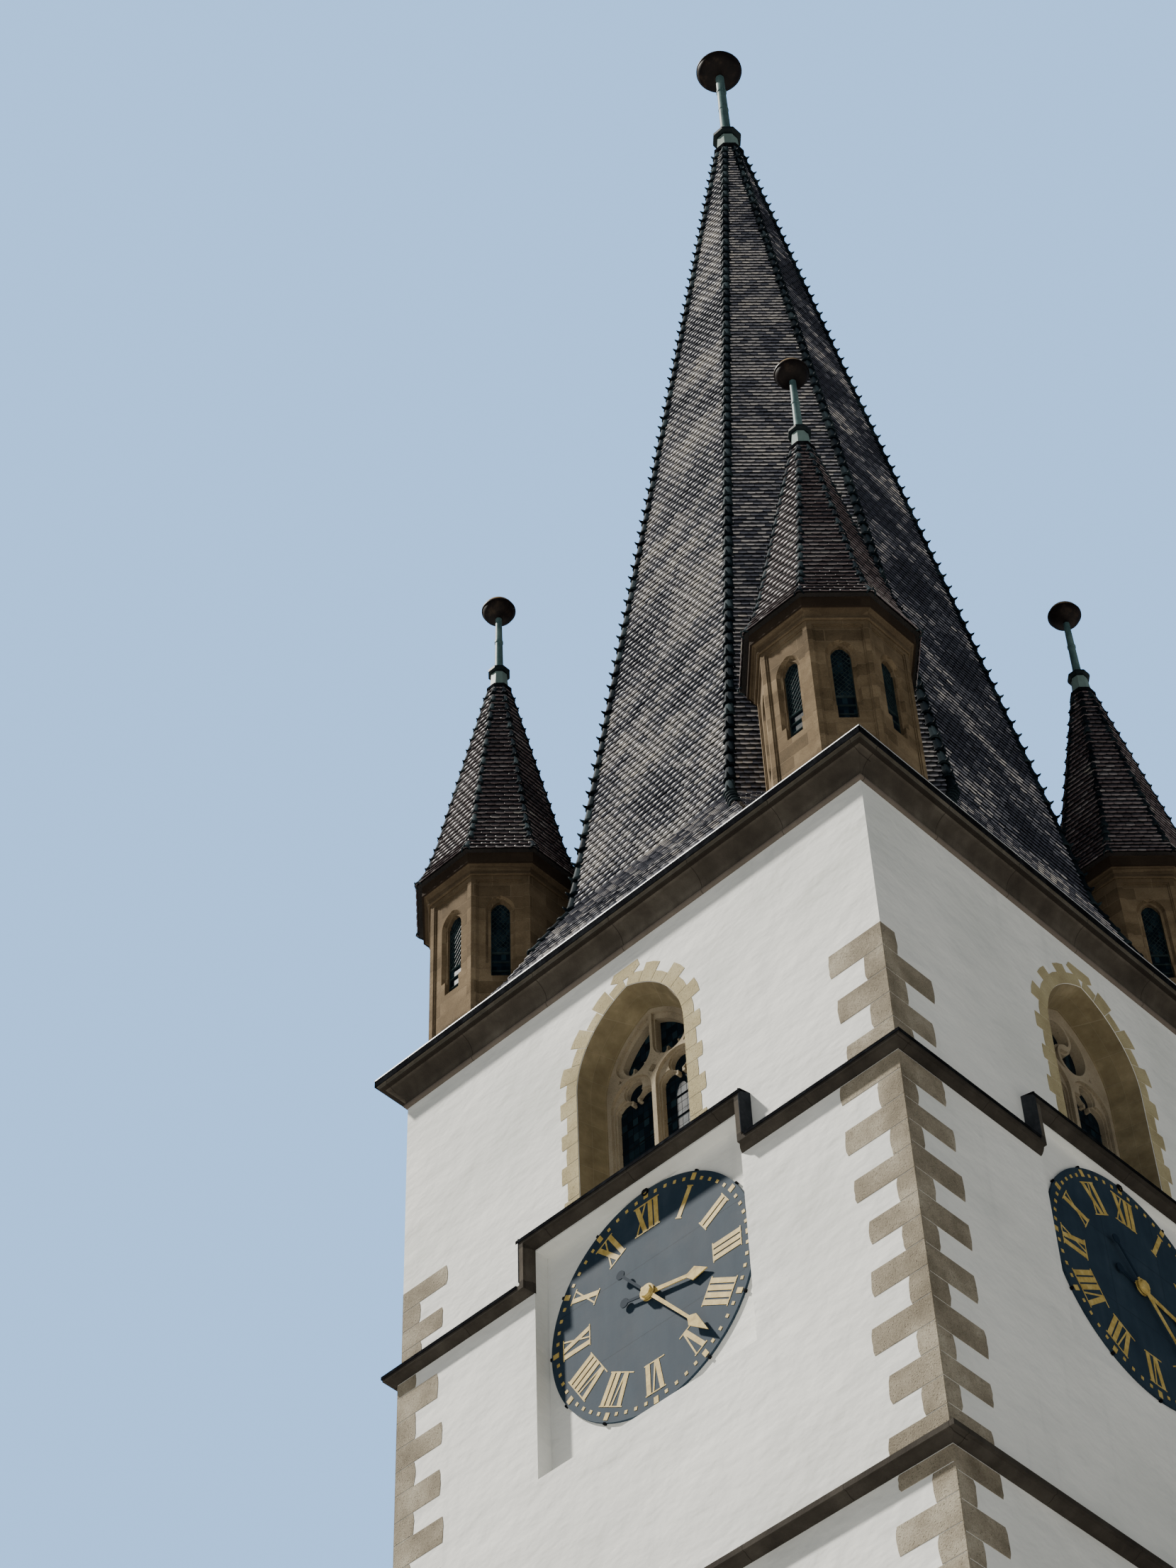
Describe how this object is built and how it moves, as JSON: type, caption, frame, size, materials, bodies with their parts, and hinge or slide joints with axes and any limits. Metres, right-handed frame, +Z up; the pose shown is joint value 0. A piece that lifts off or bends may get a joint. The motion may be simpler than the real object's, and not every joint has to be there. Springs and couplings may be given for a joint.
{
  "type": "1:2 scale model of a church tower",
  "caption": "Square plastered church tower with clock dials, pointed belfry windows, corner turrets and a tiled octagonal spire, scale model at 1:2.",
  "frame": {"origin": "on the tower's vertical axis at ground level, on the flat base", "axes": "+Z up the tower, the portal side faces -Y, +X to the right seen from the front"},
  "size_m": [5.194, 5.38, 36.5581],
  "materials": {
    "lime_plaster": "matte",
    "grey_stone": "rough",
    "tracery_stone": "rough",
    "brown_sandstone": "rough",
    "glazed_tile": "gloss",
    "patinated_metal": "weathered",
    "window_glass": "gloss",
    "dial_paint": "satin",
    "gilding": "satin",
    "oak_door": "satin",
    "floor_stone": "matte",
    "floor_boards": "matte"
  },
  "bodies": {
    "tower": {"belfry_floor": "floor_boards", "belfry_glass": "window_glass", "belfry_wall_back": "lime_plaster", "belfry_wall_front": "lime_plaster", "belfry_wall_left": "lime_plaster", "belfry_wall_right": "lime_plaster", "clock_dials": "dial_paint", "clock_string_course_back": "grey_stone", "clock_string_course_front": "grey_stone", "clock_string_course_left": "grey_stone", "clock_string_course_right": "grey_stone", "ground_floor": "floor_stone", "lower_string_course": "grey_stone", "main_cornice": "grey_stone", "plinth": "grey_stone", "portal_door": "oak_door", "portal_frame": "grey_stone", "shaft_floors": "floor_boards", "shaft_wall_back": "lime_plaster", "shaft_wall_front": "lime_plaster", "shaft_wall_left": "lime_plaster", "shaft_wall_right": "lime_plaster", "spire_finial": "patinated_metal", "spire_roof": "glazed_tile", "tower_deck": "floor_boards", "turret_back_left": "brown_sandstone", "turret_back_right": "brown_sandstone", "turret_finials": "patinated_metal", "turret_front_left": "brown_sandstone", "turret_front_right": "brown_sandstone", "turret_glass": "window_glass", "turret_roofs": "glazed_tile", "window_tracery": "tracery_stone"},
    "front_minute_hand": {"minute_hand_front": "gilding"},
    "front_hour_hand": {"hour_hand_front": "gilding"},
    "right_minute_hand": {"minute_hand_right": "gilding"},
    "right_hour_hand": {"hour_hand_right": "gilding"},
    "back_minute_hand": {"minute_hand_back": "gilding"},
    "back_hour_hand": {"hour_hand_back": "gilding"},
    "left_minute_hand": {"minute_hand_left": "gilding"},
    "left_hour_hand": {"hour_hand_left": "gilding"}
  },
  "joints": [
    {"name": "front_minute_turn", "type": "hinge", "parent": "tower", "child": "front_minute_hand", "pos_m": [0, -2.508, 15.526], "axis": [0, 1, 0], "continuous": true},
    {"name": "front_hour_turn", "type": "hinge", "parent": "tower", "child": "front_hour_hand", "pos_m": [0, -2.508, 15.526], "axis": [0, 1, 0], "continuous": true},
    {"name": "right_minute_turn", "type": "hinge", "parent": "tower", "child": "right_minute_hand", "pos_m": [2.415, 0, 15.526], "axis": [-1, 0, 0], "continuous": true},
    {"name": "right_hour_turn", "type": "hinge", "parent": "tower", "child": "right_hour_hand", "pos_m": [2.415, 0, 15.526], "axis": [-1, 0, 0], "continuous": true},
    {"name": "back_minute_turn", "type": "hinge", "parent": "tower", "child": "back_minute_hand", "pos_m": [0, 2.508, 15.526], "axis": [0, -1, 0], "continuous": true},
    {"name": "back_hour_turn", "type": "hinge", "parent": "tower", "child": "back_hour_hand", "pos_m": [0, 2.508, 15.526], "axis": [0, -1, 0], "continuous": true},
    {"name": "left_minute_turn", "type": "hinge", "parent": "tower", "child": "left_minute_hand", "pos_m": [-2.415, 0, 15.526], "axis": [1, 0, 0], "continuous": true},
    {"name": "left_hour_turn", "type": "hinge", "parent": "tower", "child": "left_hour_hand", "pos_m": [-2.415, 0, 15.526], "axis": [1, 0, 0], "continuous": true}
  ],
  "couplings": [
    {"joint": "front_hour_turn", "follows": "front_minute_turn", "ratio": 0.083333},
    {"joint": "right_minute_turn", "follows": "front_minute_turn", "ratio": 1},
    {"joint": "right_hour_turn", "follows": "front_minute_turn", "ratio": 0.083333},
    {"joint": "back_minute_turn", "follows": "front_minute_turn", "ratio": 1},
    {"joint": "back_hour_turn", "follows": "front_minute_turn", "ratio": 0.083333},
    {"joint": "left_minute_turn", "follows": "front_minute_turn", "ratio": 1},
    {"joint": "left_hour_turn", "follows": "front_minute_turn", "ratio": 0.083333}
  ]
}
